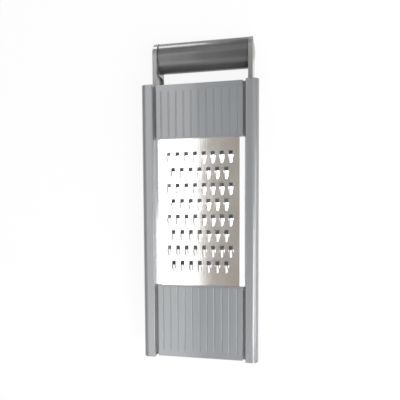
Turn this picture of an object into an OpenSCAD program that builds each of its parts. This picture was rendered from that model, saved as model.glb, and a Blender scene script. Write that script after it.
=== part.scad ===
// Hand grater: two deep side rails carry a slide-in grating insert, and the handle folds into the hollow below.
// It is drawn standing, with its face to -Y and its handle end up, and laid() lays it on its rims.
// Laid down, the handle end points to +Y and the face up, and the origin is the middle of the box at the rims.

/* [Frame] */
// Width over both side rails
frame_w = 110; // [104:1:130]
// Length of the frame, lower end to upper end
frame_len = 258; // [250:1:300]
// Width of each side rail, seen from the front
rail_w = 11.7; // [11.2:0.1:14]
// Depth of a rail's head, front to back
rail_d = 16.7; // [16.2:0.1:20]
// Depth of the body, face of the rails to the rims
body_d = 43.4; // [43.2:0.1:52]
// Draw-in of each side wall from the head to the rim
body_taper = 2; // [0.5:0.1:2.4]
// Width of the rim that the grater rests on
rim_w = 4; // [3:0.1:4.2]
// Thickness of the rim
rim_t = 2.4; // [1.6:0.1:2.6]
// Corner radius at the ends of a rim, seen from the side
rim_round = 8; // [3:0.5:12]
// Radius of the rounded outer half of a rail
rail_round = 5.6; // [4.5:0.1:6]
// Corner radius at the ends of a rail, seen from the front
rail_corner = 3.4; // [1:0.1:5]
// Wall of the hollow rails
rail_wall = 2.2; // [1.6:0.1:2.6]
// Stiffening ribs across the hollow of a rail
rail_ribs = 5; // [3:1:8]
// Thickness of a stiffening rib
rail_rib_t = 1.6; // [1:0.1:2.4]
// Closed length at each end of a rail
rail_end = 3.5; // [3:0.1:5]
// Depth of the groove that carries the insert
groove_d = 2.9; // [2:0.1:3.2]

/* [Crossbars] */
// Depth of the crossbars, front to back
bar_d = 8; // [8:0.1:9]
// Height of the lower crossbar
lower_bar_h = 16; // [14:0.5:24]
// Height of the upper crossbar
upper_bar_h = 22; // [20:0.5:30]
// Distance of the upper crossbar below the upper end
upper_bar_drop = 2; // [1:0.5:4]
// Wall of the crossbars
bar_wall = 2.2; // [1.6:0.1:2.8]
// Thickness of the tenon that enters each rail
tenon_t = 3.5; // [3:0.1:3.8]
// Height of that tenon
tenon_h = 8; // [7:0.5:10]

/* [Insert] */
// Thickness of the insert's carrier
carrier_t = 2.2; // [1.8:0.1:2.4]
// Width of the channel between a rail and the panels
channel_w = 2.7; // [2.2:0.1:6.3]
// Length of the upper ribbed panel
upper_panel_len = 49.9; // [44:0.1:56]
// Length of the lower ribbed panel
lower_panel_len = 69.4; // [60:0.1:76]
// Height of the panels' plain face above the plate
panel_step = 2.2; // [1.2:0.1:2.4]
// Wall of the hollow panels
panel_wall = 1.6; // [1.2:0.1:2]
// Free length below the insert, at the lower end
insert_drop = 0.7; // [0.5:0.1:2]
// Free length above the insert, at the upper end
insert_top_gap = 0.4; // [0:0.1:2]

/* [Ribs] */
// Spacing of the ribs, as many of them as the panel's width takes
rib_pitch = 7.1; // [5:0.1:9]
// Groove between two ribs
rib_gap = 0.8; // [0.6:0.1:2]
// Height of a rib
rib_h = 0.6; // [0.5:0.1:0.9]
// Radius of a rib's long edges
rib_edge_r = 0.5; // [0.2:0.05:0.5]
// Corner radius at the ends of a rib
rib_corner = 1.6; // [0.6:0.1:1.7]
// Plain border at the outer end of a panel
rib_border = 5.2; // [3:0.1:8]
// Plain edge between the ribs and the plate
rib_edge = 1.2; // [0.8:0.1:3]

/* [Grating plate] */
// Sheet thickness
plate_t = 0.5; // [0.4:0.05:0.6]
// Distance of the flat field from a rail
field_inset = 5.9; // [5.7:0.1:9.3]
// Height of the field above the side brims
plate_rise = 0.8; // [0.6:0.1:2.1]
// Run of the sloping margin beside the field
slope_run = 5.2; // [4:0.1:5.4]
// Length of plate tucked under each panel
plate_tuck = 3.5; // [2:0.1:4]

/* [Teeth] */
// Spacing of the teeth along a row, as many of them as the field's width takes
tooth_pitch = 8.4; // [7.2:0.1:9]
// Spacing of the rows
row_pitch = 14.6; // [13.4:0.1:15]
// Distance from the plate's upper edge to the first holes
first_row_drop = 14; // [12:0.1:16]
// Side of the square hole above each tooth
hole_side = 3.7; // [3:0.1:4]
// Outer radius of the scoop
scoop_r = 2.55; // [2.2:0.05:2.8]
// Height of the cutting lip above the plate
lip_h = 2.1; // [1.4:0.1:2.3]
// Length of the scoop below its lip
scoop_len = 7.6; // [6.4:0.1:8.4]

/* [Handle] */
// Distance of the grip's axis above the frame's upper end
grip_rise = 32.8; // [28:0.1:40]
// Height of the grip's section
grip_h = 29; // [26:0.2:29.2]
// Depth of the grip's section
grip_d = 20.4; // [18:0.2:22]
// Radius of the upper and lower end of the grip's oval section
grip_end_r = 7.5; // [6:0.1:8.5]
// Wall of the grip sleeve
grip_wall = 2.4; // [1.8:0.1:3]
// Step from a rail's inner face out to the arm
arm_step = 0.8; // [0.4:0.1:1.4]
// Width of an arm, seen from the front
arm_w = 4.2; // [3.8:0.1:5]
// Depth of an arm, front to back
arm_d = 26; // [24:0.2:28]
// Web of an arm
arm_web = 2.2; // [1.6:0.1:2.4]
// Rim flange of an arm
arm_rim = 2; // [1.4:0.1:2.2]
// Arm length above the grip's axis
arm_top = 14.8; // [14.6:0.1:17]
// Radius of an arm's upper end, seen from the side
arm_round = 9; // [7:0.5:11]
// Radius of an arm's outer upper corner, seen from the front
arm_shoulder = 3.2; // [1:0.1:3.4]

/* [Pivot] */
// Distance of the pivot below the frame's upper end
pivot_drop = 10; // [9:0.5:14]
// Radius of the pivot pins
pin_r = 2.5; // [2:0.1:3]
// Thickness of the hinge ears
ear_t = 3.8; // [3:0.1:5]
// Radius of the round end of an ear
ear_r = 8; // [6:0.5:8]

/* [Fits] */
// Sliding gap round the insert's flanges
slide_gap = 0.15; // [0.1:0.05:0.25]
// Gap between neighbouring pieces that move
free_gap = 0.3; // [0.2:0.05:0.5]
// Radial clearance of a pin in a turning hole
pin_gap = 0.06; // [0.03:0.01:0.1]
// Radial clearance of a fixed screw or pin
snug_gap = 0.03; // [0.01:0.01:0.05]

/* [Hidden] */
$fn = 48;
cut = 1;                                       // overrun of every cut

rail_out = frame_w / 2;
rail_in = rail_out - rail_w;
bar_back = bar_d / 2;
bar_front = -bar_d / 2;
rail_front = bar_back - rail_d;
rail_edge_r = 1;                               // small radius on a rail's inner front edge
rim_y = rail_front + body_d;
rim_out = rail_out - body_taper;
taper_y = rail_front + rail_round;             // depth at which the side walls begin to draw in

insert_back = bar_front - free_gap;
carrier_front = insert_back - carrier_t;
brim_front = carrier_front - plate_t;
plate_front = brim_front - plate_rise;
plate_back = plate_front + plate_t;
panel_front = plate_front - panel_step;
insert_low = insert_drop;
insert_high = frame_len - insert_top_gap;
plate_low = insert_low + lower_panel_len;      // lower visible edge of the plate
plate_high = insert_high - upper_panel_len;    // upper visible edge of the plate

panel_w = 2 * (rail_in - channel_w);
rib_pairs = 1 + floor((panel_w / 2 - rib_gap / 2 - 2 * rib_corner) / rib_pitch);
rib_count = 2 * rib_pairs;
field_half = rail_in - field_inset;

groove_front = brim_front - slide_gap;
groove_back = insert_back + slide_gap;
groove_out = rail_in + groove_d;
groove_wall = 1.6;                             // rail wall outside the groove
flange_half = groove_out - free_gap;
carrier_half = rail_in - free_gap;
cavity_in = groove_out + groove_wall;
cavity_front = rail_front + rail_wall + rail_edge_r;
rail_rib_drop = 3;                             // ribs stop this far short of the rail's back

screw_r = 1.45;                                // crossbar screws
screw_head_r = 2.2;
screw_head_h = 1.5;
screw_len = 8;
tenon_front = tenon_t / 2 - tenon_t;
tenon_back = tenon_front + tenon_t;
tenon_gap = 0.1;
tenon_end = skin_x(tenon_back) - rail_wall - free_gap;
lower_tenon_z = lower_bar_h / 2;
upper_bar_z = frame_len - upper_bar_drop - upper_bar_h;
upper_tenon_z = upper_bar_z + upper_bar_h / 2;
tenon_screw_x = (cavity_in + tenon_end) / 2;
bar_half = rail_in - tenon_gap;
bar_ribs = 4;

arm_in = rail_in + arm_step;
arm_out = arm_in + arm_w;
arm_front = bar_back + free_gap;
arm_back = arm_front + arm_d;
pivot_y = (arm_front + arm_back) / 2;
pivot_z = frame_len - pivot_drop;
hub_r = arm_d / 2;
hub_boss_r = 6;
grip_z = frame_len + grip_rise;
full_len = grip_z + arm_top;
grip_face_gap = 0.1;                           // gap between the ends of the grip and the arms
grip_half = arm_in - grip_face_gap;
plug_len = 5;                                  // collar of each arm that enters the grip
plug_wall = 1.4;
socket_gap = 0.15;                             // gap round a collar and round a capped screw head
pocket_round = 3;                              // corner radius of the hollow in an arm
rod_r = 3.5;
rod_tube_r = 6;
grip_web_t = 1.6;
cap_r = 10;
cap_h = 1.5;
cap_screw_r = 1.5;
cap_screw_len = 13;
cap_screw_head_r = 4;
cap_screw_head_h = 0.9;

ear_out = bar_half;
ear_in = ear_out - ear_t;
pin_head_r = 4.6;
pin_head_h = 1.3;
pin_tail = 1.2;                                // pin length past the ear
clip_r = 5;
clip_t = 0.5;
washer_r = 6;
washer_gap = 0.1;
washer_t = arm_in - ear_out - 2 * washer_gap;

panel_screw_r = 1.2;
panel_screw_head_r = 2.5;
panel_screw_head_h = 1.3;
panel_screw_inset_x = 9;
panel_screw_inset_z = 12;
panel_boss_r = 3;
panel_screw_cover = 0.9;                       // panel left over the tip of a screw
panel_screw_reach = carrier_front - panel_front - panel_screw_cover;
window_rim = 1.6;
window_margin = 1.4;
brim_out = flange_half - slide_gap;
bend_r = 1.2;
bend_steps = 5;
quarter = 90;                                  // degrees of a quarter turn

// Teeth, worked out in the plane of the plate
scoop_tilt = atan(lip_h / scoop_len);
scoop_axis = scoop_r / cos(scoop_tilt) - lip_h;      // depth of its axis behind the plate's face, at the lip
scoop_reach = scoop_len + scoop_r;
first_row_z = plate_high - first_row_drop;
tooth_rows = floor((first_row_z - plate_low) / row_pitch);
row_teeth = floor(2 * field_half / tooth_pitch);

// Outer face of a side wall at depth y
function skin_x(y) = rail_out - body_taper * (y - taper_y) / (rim_y - taper_y);

// Lays the standing grater on its rims
module laid() {
    translate([0, -full_len / 2, rim_y]) rotate([-90, 0, 0]) children();
}

// A square with rounded corners, from its lower left corner
module soft_square(size, r) {
    translate([r, 0]) square([size.x - 2 * r, size.y]);
    translate([0, r]) square([size.x, size.y - 2 * r]);
    for (x = [r, size.x - r], y = [r, size.y - r]) translate([x, y]) circle(r);
}

// An oval of four arcs round its middle, its long way up, drawn in by inset
module oval(half_d, half_h, end_r, inset) {
    reach = half_h - end_r;
    face_r = (pow(reach, 2) + pow(half_d, 2) - pow(end_r, 2)) / (2 * (half_d - end_r));
    back = face_r - half_d;
    meet = (face_r - inset) * reach / (face_r - end_r);
    for (s = [-1, 1]) translate([0, s * reach]) circle(end_r - inset);
    intersection() {
        translate([-back, 0]) circle(face_r - inset);
        translate([back, 0]) circle(face_r - inset);
        translate([-half_d, -meet]) square([2 * half_d, 2 * meet]);
    }
}

// Turns a front view, drawn in X and Z, into a solid from y0 to y1
module front_extrude(y0, y1) {
    translate([0, y1, 0]) rotate([90, 0, 0]) linear_extrude(y1 - y0) children();
}

// Turns a side view, drawn in Y and Z, into a solid from x0 to x1
module side_extrude(x0, x1) {
    translate([x0, 0, 0]) rotate([90, 0, 90]) linear_extrude(x1 - x0) children();
}

// A cylinder along X from x0 to x1
module x_rod(r, x0, x1, y, z) {
    translate([x0, y, z]) rotate([0, 90, 0]) cylinder(r = r, h = x1 - x0);
}

// A cylinder along Y from y0 to y1
module y_rod(r, y0, y1, x, z) {
    translate([x, y1, z]) rotate([90, 0, 0]) cylinder(r = r, h = y1 - y0);
}

// Both sides, the right one drawn by the child
module both_sides() {
    children();
    mirror([1, 0, 0]) children();
}

// Side rails: a hollow head with the insert's groove, and a side wall that draws in to the rim
module rail_section() {
    translate([rail_in, rail_front + rail_edge_r]) square([rail_w - rail_round, rail_d - rail_edge_r]);
    translate([rail_in + rail_edge_r, rail_front]) square([rail_w - rail_round - rail_edge_r, rail_d]);
    translate([rail_in + rail_edge_r, rail_front + rail_edge_r]) circle(rail_edge_r);
    translate([rail_out - rail_round, rail_front + rail_round]) circle(rail_round);
    polygon([[rail_in + rail_edge_r, taper_y], [rail_out, taper_y], [skin_x(bar_back), bar_back],
        [rail_in + rail_edge_r, bar_back]]);
    polygon([[rail_out, taper_y], [rim_out, rim_y], [rim_out - rim_w, rim_y], [rim_out - rim_w, rim_y - rim_t],
        [skin_x(rim_y - rim_t) - rail_wall, rim_y - rim_t], [rail_out - rail_wall, taper_y]]);
}

module rail_side_outline() {
    translate([rail_front - cut, rim_round]) square([body_d + cut, frame_len - 2 * rim_round]);
    translate([rail_front - cut, 0]) square([body_d + cut - rim_round, frame_len]);
    for (z = [rim_round, frame_len - rim_round]) translate([rim_y - rim_round, z]) circle(rim_round);
}

module rail_hollow() {
    clear_len = frame_len - 2 * rail_end;
    bay = clear_len / (rail_ribs + 1);
    across = rail_out - cavity_in;
    difference() {
        translate([0, 0, rail_end]) linear_extrude(clear_len) polygon([[cavity_in, cavity_front],
            [rail_out - rail_round, cavity_front], [rail_out - rail_wall, taper_y],
            [skin_x(bar_back + cut) - rail_wall, bar_back + cut], [cavity_in, bar_back + cut]]);
        for (i = [1 : rail_ribs])
            translate([cavity_in - cut, cavity_front - cut, rail_end + i * bay - rail_rib_t / 2])
                cube([across + cut, bar_back - rail_rib_drop - cavity_front + cut, rail_rib_t]);
        for (z = [lower_tenon_z, upper_tenon_z])
            translate([cavity_in - cut, cavity_front - cut, z - tenon_h / 2])
                cube([across + cut, tenon_front - cavity_front + cut, tenon_h]);
    }
}

// The rim steps back along the arc that a grip cap swings through
module cap_relief() {
    reach = grip_z - pivot_z;
    relief_in = rim_out - rim_w - cut;
    relief_out = arm_out + cap_h + free_gap;
    intersection() {
        difference() {
            x_rod(reach + cap_r + free_gap, relief_in, relief_out, pivot_y, pivot_z);
            x_rod(reach - cap_r - free_gap, relief_in - cut, relief_out + cut, pivot_y, pivot_z);
        }
        translate([relief_in, rim_y - rim_t - cut, 0]) cube([rim_w + cut, rim_t + 2 * cut, frame_len]);
    }
}

module rail() {
    difference() {
        intersection() {
            linear_extrude(frame_len) rail_section();
            front_extrude(rail_front - cut, rim_y + cut)
                translate([-rail_out, 0]) soft_square([frame_w, frame_len], rail_corner);
            side_extrude(0, rail_out + cut) rail_side_outline();
        }
        translate([rail_in - cut, groove_front, rail_end])
            cube([groove_d + cut, groove_back - groove_front, frame_len]);
        rail_hollow();
        cap_relief();
        for (z = [lower_tenon_z, upper_tenon_z]) {
            translate([rail_in - cut, tenon_front, z - tenon_h / 2 - tenon_gap])
                cube([cavity_in - rail_in + 2 * cut, bar_back - tenon_front + cut, tenon_h + 2 * tenon_gap]);
            y_rod(screw_r + snug_gap, tenon_front - screw_len, tenon_front + cut, tenon_screw_x, z);
        }
    }
}

module right_rail() { color([0.60, 0.61, 0.63]) laid() rail(); }
module left_rail() { color([0.60, 0.61, 0.63]) laid() mirror([1, 0, 0]) rail(); }

// Crossbars, which tie the rails behind the insert
module crossbar(z0, h, tenon_z, solid_bays) {
    bay = (2 * bar_half - bar_wall) / (bar_ribs + 1);
    difference() {
        union() {
            translate([-bar_half, bar_front, z0]) cube([2 * bar_half, bar_d, h]);
            translate([-tenon_end, tenon_front, tenon_z - tenon_h / 2]) cube([2 * tenon_end, tenon_t, tenon_h]);
        }
        for (i = [solid_bays : bar_ribs - solid_bays])
            translate([-bar_half + bar_wall + i * bay, bar_front + bar_wall, z0 + bar_wall])
                cube([bay - bar_wall, bar_d, h - 2 * bar_wall]);
        both_sides() y_rod(screw_r + snug_gap, tenon_front - cut, tenon_back + cut, tenon_screw_x, tenon_z);
    }
}

module lower_crossbar() { color([0.56, 0.57, 0.59]) laid() crossbar(0, lower_bar_h, lower_tenon_z, 0); }

// The upper crossbar carries the two hinge ears on solid ends
module ear_outline() {
    translate([pivot_y, pivot_z]) circle(ear_r);
    translate([bar_back - bar_wall, pivot_z - ear_r]) square([pivot_y - bar_back + bar_wall, 2 * ear_r]);
}

module upper_crossbar() {
    color([0.56, 0.57, 0.59]) laid() difference() {
        union() {
            crossbar(upper_bar_z, upper_bar_h, upper_tenon_z, 1);
            both_sides() side_extrude(ear_in, ear_out) ear_outline();
        }
        both_sides() x_rod(pin_r + snug_gap, ear_in - cut, ear_out + cut, pivot_y, pivot_z);
    }
}

module crossbar_screws() {
    color([0.75, 0.75, 0.76]) laid() both_sides() for (z = [lower_tenon_z, upper_tenon_z]) {
        y_rod(screw_r, tenon_back - screw_len, tenon_back, tenon_screw_x, z);
        y_rod(screw_head_r, tenon_back, tenon_back + screw_head_h, tenon_screw_x, z);
    }
}

// Insert: the carrier runs in the grooves of the rails
module panel_screw_places(z0, len) {
    for (x = [-1, 1], z = [z0 + panel_screw_inset_z, z0 + len - panel_screw_inset_z])
        translate([x * (panel_w / 2 - panel_screw_inset_x), 0, z]) children();
}

module all_panel_screw_places() {
    panel_screw_places(insert_low, lower_panel_len) children();
    panel_screw_places(plate_high, upper_panel_len) children();
}

module countersink(r, head_r, head_h, reach) {
    translate([0, insert_back, 0]) rotate([90, 0, 0]) {
        cylinder(r1 = head_r, r2 = r, h = head_h);
        cylinder(r = r, h = carrier_t + reach);
    }
}

module insert_carrier() {
    window_half = field_half - window_margin - window_rim;
    window_low = plate_low + window_margin;
    window_high = plate_high - window_margin;
    tuck_low = plate_low - plate_tuck - free_gap;
    tuck_high = plate_high + plate_tuck + free_gap;
    stop_z = rail_end + free_gap;
    strip_in = panel_w / 2 + free_gap;
    color([0.58, 0.59, 0.61]) laid() difference() {
        union() {
            translate([-carrier_half, carrier_front, insert_low])
                cube([2 * carrier_half, carrier_t, insert_high - insert_low]);
            translate([-flange_half, carrier_front, stop_z])
                cube([2 * flange_half, carrier_t, insert_high - stop_z]);
            both_sides() {
                translate([strip_in, brim_front, stop_z])
                    cube([flange_half - strip_in, plate_t, tuck_low - stop_z]);
                translate([strip_in, brim_front, tuck_high])
                    cube([flange_half - strip_in, plate_t, insert_high - tuck_high]);
            }
            translate([-window_half - window_rim, plate_back, window_low - window_rim])
                cube([2 * (window_half + window_rim), carrier_front - plate_back,
                    window_high - window_low + 2 * window_rim]);
        }
        translate([-window_half, plate_back - cut, window_low])
            cube([2 * window_half, insert_back - plate_back + 2 * cut, window_high - window_low]);
        all_panel_screw_places() countersink(panel_screw_r + snug_gap, panel_screw_head_r + snug_gap,
            panel_screw_head_h, cut);
    }
}

// One raised rib with a flat face, rounded long edges and rounded ends, from its lower end up
module rib(width, len) {
    intersection() {
        front_extrude(panel_front - rib_h, panel_front) translate([-width / 2, 0])
            soft_square([width, len], rib_corner);
        linear_extrude(len) translate([-width / 2, panel_front - rib_h])
            soft_square([width, rib_h + 2 * rib_edge_r], rib_edge_r);
    }
}

module panel_ribs(z0, len) {
    side = panel_w / 2 - (rib_pairs - 1) * rib_pitch - rib_gap / 2;
    for (i = [1 : rib_count - 2])
        translate([(i - (rib_count - 1) / 2) * rib_pitch, 0, z0]) rib(rib_pitch - rib_gap, len);
    both_sides() translate([panel_w / 2 - side / 2, 0, z0]) rib(side, len);
}

// A hollow panel from z0 up, its plate edge cut back to hold the end of the plate
module panel(z0, len, plate_z) {
    difference() {
        union() {
            difference() {
                translate([-panel_w / 2, panel_front, z0]) cube([panel_w, carrier_front - panel_front, len]);
                translate([-panel_w / 2 + panel_wall, panel_front + panel_wall, z0 + panel_wall])
                    cube([panel_w - 2 * panel_wall, carrier_front - panel_front, len - 2 * panel_wall]);
            }
            panel_screw_places(z0, len) y_rod(panel_boss_r, panel_front + panel_wall / 2, carrier_front, 0, 0);
        }
        translate([-panel_w / 2 - cut, plate_front, plate_z - plate_tuck - free_gap])
            cube([panel_w + 2 * cut, carrier_front - plate_front + cut, 2 * (plate_tuck + free_gap)]);
        panel_screw_places(z0, len)
            y_rod(panel_screw_r + snug_gap, carrier_front - panel_screw_reach, carrier_front + cut, 0, 0);
    }
}

module upper_panel() {
    color([0.57, 0.58, 0.60]) laid() {
        panel(plate_high, upper_panel_len, plate_high);
        panel_ribs(plate_high + rib_edge, upper_panel_len - rib_edge - rib_border);
    }
}

module lower_panel() {
    color([0.64, 0.65, 0.67]) laid() {
        panel(insert_low, lower_panel_len, plate_low);
        panel_ribs(insert_low + rib_border, lower_panel_len - rib_edge - rib_border);
    }
}

module panel_screws() {
    color([0.75, 0.75, 0.76]) laid() all_panel_screw_places()
        countersink(panel_screw_r, panel_screw_head_r, panel_screw_head_h, panel_screw_reach - snug_gap);
}

// Steel grating plate: a raised field with sloping margins and side brims
function bend(at, from, to, r) = [for (i = [0 : bend_steps])
    let (a = from + (to - from) * i / bend_steps) at + r * [cos(a), sin(a)]];

function half_sheet(face, r_in, r_out, slope) =
    // two bends join the field, the sloping margin and the brim on one face of the sheet
    concat(
        bend([field_half, plate_front + r_out + face], -quarter, slope - quarter, r_out),
        bend([field_half + slope_run, brim_front - r_in + face], quarter + slope, quarter, r_in),
        [[brim_out, brim_front + face]]);

module sheet_section() {
    slope = atan(plate_rise / slope_run);
    // the front face bends about the larger radius at the field and the smaller one at the brim
    front = half_sheet(0, bend_r, bend_r + plate_t, slope);
    back = half_sheet(plate_t, bend_r + plate_t, bend_r, slope);
    right = concat(front, [for (i = [len(back) - 1 : -1 : 0]) back[i]]);
    for (s = [-1, 1]) polygon([for (p = right) [s * p.x, p.y], [0, plate_back], [0, plate_front]]);
}

module tooth_place() {
    for (row = [0 : tooth_rows - 1]) {
        n = row_teeth - row % 2;
        for (i = [0 : n - 1])
            translate([(i - (n - 1) / 2) * tooth_pitch, plate_front, first_row_z - row * row_pitch]) children();
    }
}

// A leaning rod that breaks through the plate, cut off square at the lip
module scoop(r, lip_over, back_over) {
    intersection() {
        translate([0, scoop_axis, 0]) rotate([180 + scoop_tilt, 0, 0]) translate([0, 0, -scoop_r])
            cylinder(r = r, h = scoop_reach + 2 * scoop_r, $fn = 32);
        translate([-scoop_r, -lip_h - cut, -scoop_reach])
            cube([2 * scoop_r, lip_h + cut + back_over, scoop_reach + lip_over]);
    }
}

module grating_plate() {
    color([0.86, 0.87, 0.88]) laid() difference() {
        union() {
            translate([0, 0, plate_low - plate_tuck]) linear_extrude(plate_high - plate_low + 2 * plate_tuck)
                sheet_section();
            tooth_place() translate([0, 0, -hole_side / 2]) scoop(scoop_r, 0, plate_t);
        }
        tooth_place() {
            translate([0, 0, -hole_side / 2]) scoop(scoop_r - plate_t, plate_t, plate_t + cut);
            translate([-hole_side / 2, -cut, -hole_side / 2]) cube([hole_side, plate_t + 2 * cut, hole_side]);
        }
    }
}

// Folding handle: two arms, hollow below their heads, a grip between them, and the rod that ties them
module arm_outline() {
    translate([pivot_y, pivot_z]) circle(hub_r);
    translate([arm_front, pivot_z]) square([arm_d, grip_z - pivot_z]);
    translate([pivot_y, grip_z]) oval(hub_r, arm_top, arm_round, 0);
}

module arm_pocket() {
    low = pivot_z - pocket_round;
    high = grip_z - grip_h / 2 - arm_rim;
    translate([pivot_y, pivot_z]) circle(hub_r - arm_rim);
    translate([arm_front + arm_rim, low]) soft_square([arm_d - 2 * arm_rim, high - low], pocket_round);
}

module grip_outline(inset) {
    translate([pivot_y, grip_z]) oval(grip_d / 2, grip_h / 2, grip_end_r, inset);
}

module arm() {
    foot_z = pivot_z - hub_r - cut;
    plug_inset = grip_wall + socket_gap;
    difference() {
        union() {
            intersection() {
                union() {
                    difference() {
                        side_extrude(arm_in, arm_out) arm_outline();
                        side_extrude(arm_in - cut, arm_out - arm_web) arm_pocket();
                    }
                    x_rod(hub_boss_r, arm_in, arm_out - arm_web / 2, pivot_y, pivot_z);
                }
                front_extrude(arm_front - cut, arm_back + cut) translate([-arm_out, foot_z])
                    soft_square([2 * arm_out, grip_z + arm_top - foot_z], arm_shoulder);
            }
            side_extrude(arm_in - plug_len, arm_out - arm_web) difference() {
                grip_outline(plug_inset);
                grip_outline(plug_inset + plug_wall);
            }
        }
        x_rod(pin_r + pin_gap, arm_in - cut, arm_out + cut, pivot_y, pivot_z);
        x_rod(cap_screw_r + snug_gap, arm_in - cut, arm_out + cut, pivot_y, grip_z);
    }
}

module right_arm() { color([0.70, 0.70, 0.69]) laid() arm(); }
module left_arm() { color([0.70, 0.70, 0.69]) laid() mirror([1, 0, 0]) arm(); }

// The webs and the tube inside the grip end short of the arms' collars
module grip_sleeve() {
    web_half = grip_half - plug_len - free_gap;
    color([0.30, 0.30, 0.31]) laid() difference() {
        union() {
            side_extrude(-grip_half, grip_half) difference() {
                grip_outline(0);
                grip_outline(grip_wall);
            }
            side_extrude(-web_half, web_half) intersection() {
                grip_outline(grip_wall / 2);
                union() {
                    translate([pivot_y - grip_d, grip_z - grip_web_t / 2]) square([2 * grip_d, grip_web_t]);
                    translate([pivot_y - grip_web_t / 2, grip_z - grip_h]) square([grip_web_t, 2 * grip_h]);
                }
            }
            x_rod(rod_tube_r, -web_half, web_half, pivot_y, grip_z);
        }
        x_rod(rod_r + pin_gap, -grip_half - cut, grip_half + cut, pivot_y, grip_z);
    }
}

module grip_rod() {
    color([0.78, 0.78, 0.79]) laid() difference() {
        x_rod(rod_r, -grip_half, grip_half, pivot_y, grip_z);
        both_sides() x_rod(cap_screw_r + snug_gap, grip_half - cap_screw_len, grip_half + cut, pivot_y, grip_z);
    }
}

module grip_screws() {
    color([0.75, 0.75, 0.76]) laid() both_sides() {
        x_rod(cap_screw_r, arm_out - cap_screw_len, arm_out, pivot_y, grip_z);
        x_rod(cap_screw_head_r, arm_out, arm_out + cap_screw_head_h, pivot_y, grip_z);
    }
}

// Low domed caps over the grip screws
module grip_caps() {
    dome_r = (pow(cap_r, 2) + pow(cap_h, 2)) / (2 * cap_h);
    color([0.70, 0.70, 0.69]) laid() both_sides() difference() {
        translate([arm_out, pivot_y, grip_z]) rotate([0, 90, 0]) rotate_extrude($fn = 96) intersection() {
            translate([0, cap_h - dome_r]) circle(dome_r, $fn = 192);
            square([cap_r, cap_h]);
        }
        x_rod(cap_screw_head_r + socket_gap, arm_out - cut, arm_out + cap_screw_head_h + socket_gap,
            pivot_y, grip_z);
    }
}

// Pivots: a headed pin on each side, held by a spring clip inside the ear
module pivot_pins() {
    color([0.75, 0.75, 0.76]) laid() both_sides() {
        x_rod(pin_r, ear_in - pin_tail, arm_out + washer_gap, pivot_y, pivot_z);
        x_rod(pin_head_r, arm_out + washer_gap, arm_out + washer_gap + pin_head_h, pivot_y, pivot_z);
    }
}

module ring(r_out, r_in, x0, x1) {
    difference() {
        x_rod(r_out, x0, x1, pivot_y, pivot_z);
        x_rod(r_in, x0 - cut, x1 + cut, pivot_y, pivot_z);
    }
}

module pivot_clips() {
    color([0.75, 0.75, 0.76]) laid() both_sides() ring(clip_r, pin_r + snug_gap, ear_in - clip_t, ear_in);
}

module pivot_washers() {
    color([0.85, 0.85, 0.84]) laid() both_sides()
        ring(washer_r, pin_r + pin_gap, ear_out + washer_gap, ear_out + washer_gap + washer_t);
}

left_rail();
right_rail();
upper_crossbar();
lower_crossbar();
crossbar_screws();
pivot_pins();
pivot_clips();
insert_carrier();
upper_panel();
lower_panel();
grating_plate();
panel_screws();
left_arm();
right_arm();
grip_sleeve();
grip_rod();
grip_screws();
grip_caps();
pivot_washers();
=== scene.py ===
"""Hand grater with a slide-in grating insert and a fold-in handle, lying on its rims."""

import math

import bpy
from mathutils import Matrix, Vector


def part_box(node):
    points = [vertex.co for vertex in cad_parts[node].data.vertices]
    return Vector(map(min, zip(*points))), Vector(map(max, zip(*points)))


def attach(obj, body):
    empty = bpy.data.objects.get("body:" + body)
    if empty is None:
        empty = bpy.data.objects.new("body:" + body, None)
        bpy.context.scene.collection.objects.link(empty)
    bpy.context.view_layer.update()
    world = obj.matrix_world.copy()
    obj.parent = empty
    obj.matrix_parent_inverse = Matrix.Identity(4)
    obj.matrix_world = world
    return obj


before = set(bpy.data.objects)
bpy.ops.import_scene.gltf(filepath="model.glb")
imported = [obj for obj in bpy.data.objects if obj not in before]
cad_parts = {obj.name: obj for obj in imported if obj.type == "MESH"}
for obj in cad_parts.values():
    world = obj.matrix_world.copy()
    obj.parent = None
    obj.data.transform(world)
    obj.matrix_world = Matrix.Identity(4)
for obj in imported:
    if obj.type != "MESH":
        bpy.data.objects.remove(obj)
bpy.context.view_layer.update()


# Camera: it stands to the right of the grater's middle and level with it, as in the photograph.
# The photograph's framing leaves the lens axis below the picture's middle, so the lens has a small shift.
eye = Vector((0.07572, -0.01226, 0.41599))
eye_turn_degrees = (-3.433, 11.280, -0.299)
lens_mm = 36.93
sensor_mm = 36
lens_shift_up = 0.0875

camera_data = bpy.data.cameras.new("camera")
camera_data.sensor_width = sensor_mm
camera_data.lens = lens_mm
camera_data.shift_y = lens_shift_up
camera = bpy.data.objects.new("camera", camera_data)
camera.location = eye
camera.rotation_euler = [math.radians(turn) for turn in eye_turn_degrees]
bpy.context.collection.objects.link(camera)
bpy.context.scene.camera = camera
bpy.context.scene.view_settings.view_transform = "Standard"


# Studio: a white table and room, two soft lamps on the right and one near the lower end, a wide box
# high above the left side and a low window beyond the handle. Room and table look white to the camera
# and light the scene more gently than that. In mirrors the room has a warm grey ceiling and lower part.
room_light = 0.20
room_white = 1.0
room_grey = (0.33, 0.30, 0.265)
ceiling_band = (0.90, 0.94)
ceiling_edge_band = (0.05, 0.0)
low_room_band = (0.62, 0.46)
table_size = 6.0
table_drop = 0.0002
table_roughness = 0.9
table_glow_share = 0.90
hollow_half = (0.050, 0.130)
hollow_middle_y = -0.024
hollow_fade = 0.012


def add_node(tree, kind, **settings):
    """Adds a shader node; a setting named after an input fills that input."""
    made = tree.nodes.new(kind)
    for name, value in settings.items():
        label = name.replace("_", " ").title()
        if label in made.inputs:
            made.inputs[label].default_value = value
        else:
            setattr(made, name, value)
    return made


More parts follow.
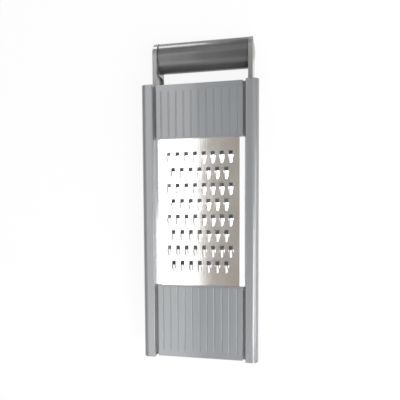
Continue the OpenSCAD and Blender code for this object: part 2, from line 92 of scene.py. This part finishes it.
def combine(tree, operation, *terms):
    """The result of a Math node; each term is a node's output or a plain number."""
    made = add_node(tree, "ShaderNodeMath", operation=operation)
    for place, term in enumerate(terms):
        if isinstance(term, (int, float)):
            made.inputs[place].default_value = term
        else:
            tree.links.new(term, made.inputs[place])
    return made.outputs[0]


def ramp(tree, source, start, end, **settings):
    """Goes from 0 to 1 while the source goes from start to end."""
    made = add_node(tree, "ShaderNodeMapRange", **settings)
    made.inputs["From Min"].default_value = start
    made.inputs["From Max"].default_value = end
    tree.links.new(source, made.inputs["Value"])
    return made.outputs["Result"]


def mix_colours(tree, share, first, second):
    """A mix of two colours; each is a node's output or three numbers."""
    made = add_node(tree, "ShaderNodeMix", data_type="RGBA")
    tree.links.new(share, made.inputs[0])
    for side, colour in (("A", first), ("B", second)):
        if isinstance(colour, tuple):
            made.inputs[side].default_value = (*colour, 1)
        else:
            tree.links.new(colour, made.inputs[side])
    return made.outputs["Result"]


def seen_rays(tree, unseen_level, seen_level):
    """One level for the rays that show or mirror a surface, another for the rays that light things."""
    kind = add_node(tree, "ShaderNodeLightPath")
    shown = combine(tree, "MAXIMUM", kind.outputs["Is Camera Ray"], kind.outputs["Is Glossy Ray"])
    either = combine(tree, "MAXIMUM", shown, kind.outputs["Is Transmission Ray"])
    level = add_node(tree, "ShaderNodeMapRange")
    level.inputs["To Min"].default_value = unseen_level
    level.inputs["To Max"].default_value = seen_level
    tree.links.new(either, level.inputs["Value"])
    return level.outputs["Result"]


def soft_lamp(name, place, aim, size, watts):
    lamp_data = bpy.data.lights.new(name, "AREA")
    lamp_data.shape = "RECTANGLE"
    lamp_data.size, lamp_data.size_y = size
    lamp_data.energy = watts
    lamp = bpy.data.objects.new(name, lamp_data)
    lamp.location = place
    lamp.rotation_euler = (Vector(aim) - Vector(place)).to_track_quat("-Z", "Y").to_euler()
    bpy.context.collection.objects.link(lamp)


soft_lamp("right_lamp", place=(0.36, -0.22, 0.64), aim=(0, -0.05, 0.03), size=(0.40, 0.26), watts=2.5)
soft_lamp("right_box", place=(0.80, -0.12, 0.45), aim=(0, -0.03, 0.03), size=(0.60, 0.45), watts=3.1)
soft_lamp("near_lamp", place=(0.16, -0.52, 0.36), aim=(0, -0.11, 0.03), size=(0.20, 0.20), watts=1.3)
soft_lamp("left_box", place=(-0.54, 0.06, 1.25), aim=(-0.54, 0.06, 0), size=(0.56, 1.66), watts=5.6)
soft_lamp("far_window", place=(-0.55, 1.15, 0.17), aim=(0, 0.12, 0.02), size=(0.80, 0.32), watts=6.4)

room = bpy.data.worlds.new("room")
room.use_nodes = True
bpy.context.scene.world = room
room_tree = room.node_tree
background = room_tree.nodes["Background"]
room_tree.links.new(seen_rays(room_tree, room_light, room_white), background.inputs["Strength"])

# only mirrors show the grey parts: the ceiling from straight above to the left, and the room low down
room_way = add_node(room_tree, "ShaderNodeTexCoord")
room_xyz = add_node(room_tree, "ShaderNodeSeparateXYZ")
room_tree.links.new(room_way.outputs["Generated"], room_xyz.inputs["Vector"])
overhead = ramp(room_tree, room_xyz.outputs["Z"], *ceiling_band, interpolation_type="SMOOTHSTEP")
leftward = ramp(room_tree, room_xyz.outputs["X"], *ceiling_edge_band, interpolation_type="SMOOTHSTEP")
low_down = ramp(room_tree, room_xyz.outputs["Z"], *low_room_band, interpolation_type="SMOOTHSTEP")
grey_part = combine(room_tree, "MAXIMUM", combine(room_tree, "MULTIPLY", overhead, leftward), low_down)
room_rays = add_node(room_tree, "ShaderNodeLightPath")
mirrored_grey = combine(room_tree, "MULTIPLY", grey_part, room_rays.outputs["Is Glossy Ray"])
room_tree.links.new(mix_colours(room_tree, mirrored_grey, (1, 1, 1), room_grey), background.inputs["Color"])

bpy.ops.object.select_all(action="DESELECT")
bpy.ops.mesh.primitive_plane_add(size=table_size, location=(0, 0, -table_drop))
table = bpy.context.object
table.name = "table"
table_look = bpy.data.materials.new("white_table")
table_look.use_nodes = True
table_tree = table_look.node_tree
table_paint = table_tree.nodes["Principled BSDF"]
table_paint.inputs["Base Color"].default_value = (1, 1, 1, 1)
table_paint.inputs["Roughness"].default_value = table_roughness
table_paint.inputs["Specular IOR Level"].default_value = 0.0
table_glow = add_node(table_tree, "ShaderNodeEmission", color=(1, 1, 1, 1), strength=1.0)
table_mix = add_node(table_tree, "ShaderNodeMixShader")

# the glow is left out inside a rectangle under the frame, and fades in along its four sides: outside the
# rectangle the glow is painted light that washes the grater's shadow off the table, while under the frame
# the real shade stays
table_place = add_node(table_tree, "ShaderNodeTexCoord")
table_xyz = add_node(table_tree, "ShaderNodeSeparateXYZ")
table_tree.links.new(table_place.outputs["Object"], table_xyz.inputs["Vector"])
table_edges = []
for axis, middle, half in (("X", 0, hollow_half[0]), ("Y", hollow_middle_y, hollow_half[1])):
    off_middle = combine(table_tree, "SUBTRACT", table_xyz.outputs[axis], middle)
    away = combine(table_tree, "ABSOLUTE", off_middle)
    table_edges.append(ramp(table_tree, away, half - hollow_fade, half))
table_open = combine(table_tree, "MAXIMUM", *table_edges)
table_glow_level = combine(table_tree, "MULTIPLY", table_open, seen_rays(table_tree, 0, table_glow_share))
table_tree.links.new(table_glow_level, table_mix.inputs["Fac"])
table_tree.links.new(table_paint.outputs["BSDF"], table_mix.inputs[1])
table_tree.links.new(table_glow.outputs["Emission"], table_mix.inputs[2])
table_tree.links.new(table_mix.outputs["Shader"], table_tree.nodes["Material Output"].inputs["Surface"])
table.data.materials.append(table_look)


# Frame: two hollow side rails with draw-in walls and two ribbed crossbars, moulded in grey ABS.
# The rails' tenon joints are held by screws. The surface has a fine grain, faint flow marks along its
# length and hairline scratches from use.
frame_grey = (0.212, 0.219, 0.229)
frame_grey_pale = (0.244, 0.251, 0.262)
grain_per_m = 2600
grain_depth_m = 0.00003
grain_strength = 0.6
flow_per_m = 18
flow_stretch = (1, 0.12, 1)
flow_band = (0.35, 0.65)
flow_roughness = 0.12
scratch_per_m = 900
scratch_stretch = (1, 0.03, 1)
scratch_slant = math.radians(4)
scratch_band = (0.70, 0.80)
scratch_roughness = 0.07
scratch_depth = -0.25
skin_roughness = 0.10


def moulded_plastic_group():
    """Grain, flow marks and scratches of a moulded surface, from the object's own coordinates."""
    group = bpy.data.node_groups.new("moulded_surface", "ShaderNodeTree")
    sockets = group.interface
    for name, kind in (("Colour", "NodeSocketColor"), ("Pale", "NodeSocketColor"),
                       ("Grain Size", "NodeSocketFloat"), ("Roughness", "NodeSocketFloat")):
        sockets.new_socket(name, in_out="INPUT", socket_type=kind)
    for name, kind in (("Colour", "NodeSocketColor"), ("Roughness", "NodeSocketFloat"),
                       ("Height", "NodeSocketFloat")):
        sockets.new_socket(name, in_out="OUTPUT", socket_type=kind)
    given = add_node(group, "NodeGroupInput")
    result = add_node(group, "NodeGroupOutput")
    place = add_node(group, "ShaderNodeTexCoord")
    link = group.links.new

    grain = add_node(group, "ShaderNodeTexNoise", detail=2.0, roughness=0.6)
    link(place.outputs["Object"], grain.inputs["Vector"])
    link(given.outputs["Grain Size"], grain.inputs["Scale"])

    along = add_node(group, "ShaderNodeMapping", scale=flow_stretch)
    link(place.outputs["Object"], along.inputs["Vector"])
    flow = add_node(group, "ShaderNodeTexNoise", scale=flow_per_m, detail=3.0)
    link(along.outputs["Vector"], flow.inputs["Vector"])

    streak = add_node(group, "ShaderNodeMapping", scale=scratch_stretch, rotation=(0, 0, scratch_slant))
    link(place.outputs["Object"], streak.inputs["Vector"])
    scratch = add_node(group, "ShaderNodeTexNoise", scale=scratch_per_m, detail=1.0)
    link(streak.outputs["Vector"], scratch.inputs["Vector"])
    scratch_line = ramp(group, scratch.outputs["Fac"], *scratch_band)

    spread = ramp(group, flow.outputs["Fac"], *flow_band)
    tint = mix_colours(group, spread, given.outputs["Colour"], given.outputs["Pale"])
    link(tint, result.inputs["Colour"])

    rough = combine(group, "MULTIPLY_ADD", flow.outputs["Fac"], flow_roughness, given.outputs["Roughness"])
    worn = combine(group, "MULTIPLY_ADD", scratch_line, scratch_roughness, rough)
    link(worn, result.inputs["Roughness"])

    height = combine(group, "MULTIPLY_ADD", scratch_line, scratch_depth, grain.outputs["Fac"])
    link(height, result.inputs["Height"])
    return group


moulded_surface = moulded_plastic_group()


def plastic(name, colour, pale, roughness,
            grain_size=grain_per_m, grain_depth=grain_depth_m, shine=0.5, skin=0.0):
    look = bpy.data.materials.new(name)
    look.use_nodes = True
    tree = look.node_tree
    shader = tree.nodes["Principled BSDF"]
    shader.inputs["Specular IOR Level"].default_value = shine
    shader.inputs["Coat Weight"].default_value = skin
    shader.inputs["Coat Roughness"].default_value = skin_roughness
    surface = add_node(tree, "ShaderNodeGroup", node_tree=moulded_surface)
    surface.inputs["Colour"].default_value = (*colour, 1)
    surface.inputs["Pale"].default_value = (*pale, 1)
    surface.inputs["Grain Size"].default_value = grain_size
    surface.inputs["Roughness"].default_value = roughness
    bump = add_node(tree, "ShaderNodeBump", strength=grain_strength, distance=grain_depth)
    tree.links.new(surface.outputs["Height"], bump.inputs["Height"])
    tree.links.new(bump.outputs["Normal"], shader.inputs["Normal"])
    tree.links.new(surface.outputs["Colour"], shader.inputs["Base Color"])
    tree.links.new(surface.outputs["Roughness"], shader.inputs["Roughness"])
    return look


def finish_nodes(look, *names):
    for name in names:
        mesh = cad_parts[name].data
        mesh.materials.clear()
        mesh.materials.append(look)


frame_look = plastic("grey_frame_plastic", frame_grey, frame_grey_pale, roughness=0.18, shine=0.7, skin=0.7)
finish_nodes(frame_look, "left_rail", "right_rail", "upper_crossbar", "lower_crossbar")


# Insert: a flat carrier that runs in the rails' grooves, with a ribbed panel at each end of the plate.
# All three are moulded in a grey close to the frame's.
panel_grey = (0.216, 0.229, 0.240)
panel_grey_pale = (0.250, 0.264, 0.276)

panel_look = plastic("grey_panel_plastic", panel_grey, panel_grey_pale, roughness=0.14, shine=0.7, skin=0.7)
finish_nodes(panel_look, "insert_carrier", "upper_panel", "lower_panel")


# Panel lips: a thin strip at each side of a panel closes the channel over the tucked end of the plate.
# They belong to the panels' mouldings, so they have the panels' finish and ride on the insert.
lip_thick = 0.0003
lip_bevel = 0.0001
lip_run_past = 0.0003
lip_root = 0.0008
rail_clearance = 0.0003

plate_box_low, plate_box_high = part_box("grating_plate")
lip_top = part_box("insert_carrier")[1][2]
rail_inner_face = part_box("right_rail")[0][0]
for end in ("upper", "lower"):
    panel_box_low, panel_box_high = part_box(end + "_panel")
    if end == "upper":
        lip_y = (panel_box_low[1], plate_box_high[1] + lip_run_past)
    else:
        lip_y = (plate_box_low[1] - lip_run_past, panel_box_high[1])
    lip_x = (panel_box_high[0] - lip_root, rail_inner_face - rail_clearance)
    for side_name, side in (("left", -1), ("right", 1)):
        bpy.ops.object.select_all(action="DESELECT")
        bpy.ops.mesh.primitive_cube_add(size=1)
        lip = bpy.context.object
        lip.name = f"{end}_panel_lip_{side_name}"
        lip.scale = (lip_x[1] - lip_x[0], lip_y[1] - lip_y[0], lip_thick)
        lip.location = (side * sum(lip_x) / 2, sum(lip_y) / 2, lip_top - lip_thick / 2)
        bpy.ops.object.transform_apply(location=True, rotation=True, scale=True)
        bpy.ops.object.mode_set(mode="EDIT")
        bpy.ops.mesh.select_all(action="SELECT")
        bpy.ops.mesh.bevel(offset=lip_bevel, segments=2, affect="EDGES")
        bpy.ops.object.mode_set(mode="OBJECT")
        lip.data.materials.append(panel_look)
        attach(lip, "insert")


# Grating plate: thin stainless steel with a mirror polish, pressed and pierced in one stroke.
# It keeps faint draw lines along its length, a slight waviness and a few smudges.
steel_bright = (0.975, 0.975, 0.98)
steel_shade = (0.93, 0.93, 0.935)
draw_lines_per_m = 1400
draw_line_stretch = (1, 0.02, 1)
smudge_per_m = 60
wave_strength = 0.5


def polished_steel(name, bright, shade, roughness, smudge, wave_depth):
    look = bpy.data.materials.new(name)
    look.use_nodes = True
    tree = look.node_tree
    link = tree.links.new
    shader = tree.nodes["Principled BSDF"]
    shader.inputs["Metallic"].default_value = 1.0
    place = add_node(tree, "ShaderNodeTexCoord")

    along = add_node(tree, "ShaderNodeMapping", scale=draw_line_stretch)
    link(place.outputs["Object"], along.inputs["Vector"])
    lines = add_node(tree, "ShaderNodeTexNoise", scale=draw_lines_per_m, detail=2.0)
    link(along.outputs["Vector"], lines.inputs["Vector"])
    smudges = add_node(tree, "ShaderNodeTexNoise", scale=smudge_per_m, detail=4.0)
    link(place.outputs["Object"], smudges.inputs["Vector"])

    link(mix_colours(tree, lines.outputs["Fac"], bright, shade), shader.inputs["Base Color"])
    rough = combine(tree, "MULTIPLY_ADD", smudges.outputs["Fac"], smudge, roughness)
    link(rough, shader.inputs["Roughness"])

    bump = add_node(tree, "ShaderNodeBump", strength=wave_strength, distance=wave_depth)
    link(combine(tree, "ADD", lines.outputs["Fac"], smudges.outputs["Fac"]), bump.inputs["Height"])
    link(bump.outputs["Normal"], shader.inputs["Normal"])
    return look


plate_look = polished_steel("polished_plate_steel", steel_bright, steel_shade,
                            roughness=0.08, smudge=0.10, wave_depth=0.00002)
finish_nodes(plate_look, "grating_plate")


# Handle arms: two channel-shaped arms in a lighter, warmer grey, with low round caps over the screws.
# They are moulded like the frame, with a little less gloss.
arm_grey = (0.205, 0.205, 0.198)
arm_grey_pale = (0.238, 0.238, 0.230)

arm_look = plastic("warm_grey_arm_plastic", arm_grey, arm_grey_pale, roughness=0.22, shine=0.7, skin=0.7)
finish_nodes(arm_look, "left_arm", "right_arm", "grip_caps")


# Grip: a thick dark sleeve with a glossy moulded skin, held between the arms by its tie rod.
# Its grain is coarser and shallower than the frame's.
grip_grey = (0.064, 0.065, 0.068)
grip_grey_pale = (0.089, 0.090, 0.093)
grip_grain_per_m = 900
grip_grain_depth_m = 0.00001

grip_look = plastic("dark_grip_plastic", grip_grey, grip_grey_pale, roughness=0.24,
                    grain_size=grip_grain_per_m, grain_depth=grip_grain_depth_m, shine=0.6, skin=0.6)
finish_nodes(grip_look, "grip_sleeve")


# Fastenings: plain zinc-plated steel screws, pins, clips and the tie rod, and pale acetal washers.
# The steel has the plate's pattern at a duller polish.
zinc_bright = (0.62, 0.62, 0.63)
zinc_shade = (0.50, 0.50, 0.51)
washer_white = (0.66, 0.66, 0.64)
washer_pale = (0.72, 0.72, 0.70)

zinc_look = polished_steel("zinc_plated_steel", zinc_bright, zinc_shade,
                           roughness=0.26, smudge=0.20, wave_depth=0.00001)
finish_nodes(zinc_look, "crossbar_screws", "pivot_pins", "pivot_clips", "panel_screws", "grip_rod",
             "grip_screws")
washer_look = plastic("acetal_washer", washer_white, washer_pale, roughness=0.30)
finish_nodes(washer_look, "pivot_washers")
